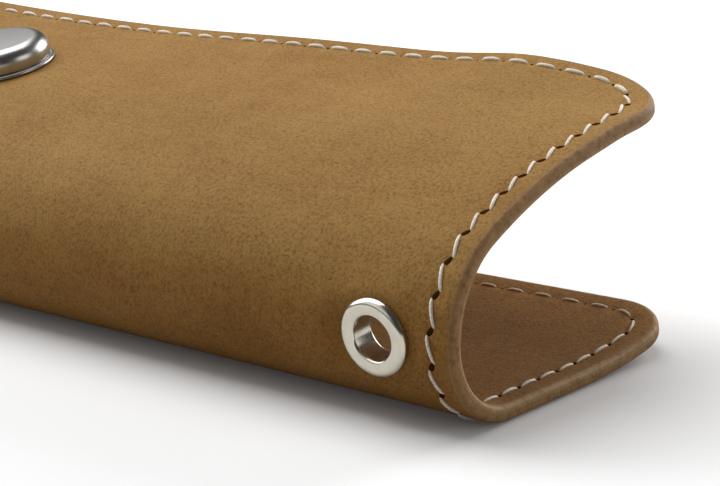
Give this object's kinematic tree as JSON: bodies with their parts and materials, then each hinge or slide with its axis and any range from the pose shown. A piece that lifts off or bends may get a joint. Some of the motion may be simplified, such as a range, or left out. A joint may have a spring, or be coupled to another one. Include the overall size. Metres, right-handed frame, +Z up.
{
  "type": "fountain pen case",
  "caption": "Folded two-ply leather pen case with a stitched edge, a snap that closes the upper flap onto the lower one, and a metal eyelet through the fold at one end.",
  "frame": {"origin": "middle of the open case's bounding box, on the table", "axes": "+X along the fold towards the eyelet's end, +Y from the fold's front towards the open edges of the flaps, +Z up"},
  "size_m": [0.188, 0.0444, 0.0304],
  "materials": {
    "cover_leather": "tan nubuck, fine grain, burnished cut edges",
    "lining_leather": "tan leather, matt, a little darker inside",
    "nickel": "bright nickel plate, lightly worn",
    "thread": "waxed cream linen thread",
    "spring_wire": "drawn spring wire"
  },
  "bodies": {
    "base": {"cover_floor": "cover_leather", "lining_floor": "lining_leather", "cover_wall": "cover_leather", "lining_wall": "lining_leather", "cover_fold": "cover_leather", "lining_fold": "lining_leather", "snap_stud": "nickel", "stud_post": "nickel", "eyelet": "nickel", "eyelet_washer": "nickel"},
    "roll": {"cover_roll": "cover_leather", "lining_roll": "lining_leather", "cover_bend": "cover_leather", "lining_bend": "lining_leather"},
    "panel": {"cover_panel": "cover_leather", "lining_panel": "lining_leather", "snap_cap": "nickel", "snap_ring": "nickel", "snap_post": "nickel", "snap_socket": "nickel", "snap_spring": "spring_wire"}
  },
  "joints": [
    {"name": "flap_fold", "type": "hinge", "parent": "base", "child": "roll", "pos_m": [0, -0.01955, 0.0145], "axis": [1, 0, 0], "range_deg": [-71.28, 20], "stiffness_Nm_per_rad": 0.02, "springref_deg": 5.84, "deforming": ["cover_fold", "lining_fold", "snap_spring"]},
    {"name": "flap_bend", "type": "hinge", "parent": "roll", "child": "panel", "pos_m": [0, -0.00824, 0.02236], "axis": [1, 0, 0], "range_deg": [-17, 61], "deforming": ["cover_bend", "lining_bend"]}
  ],
  "couplings": [
    {"joint": "flap_bend", "follows": "flap_fold", "ratio": -0.8373}
  ]
}
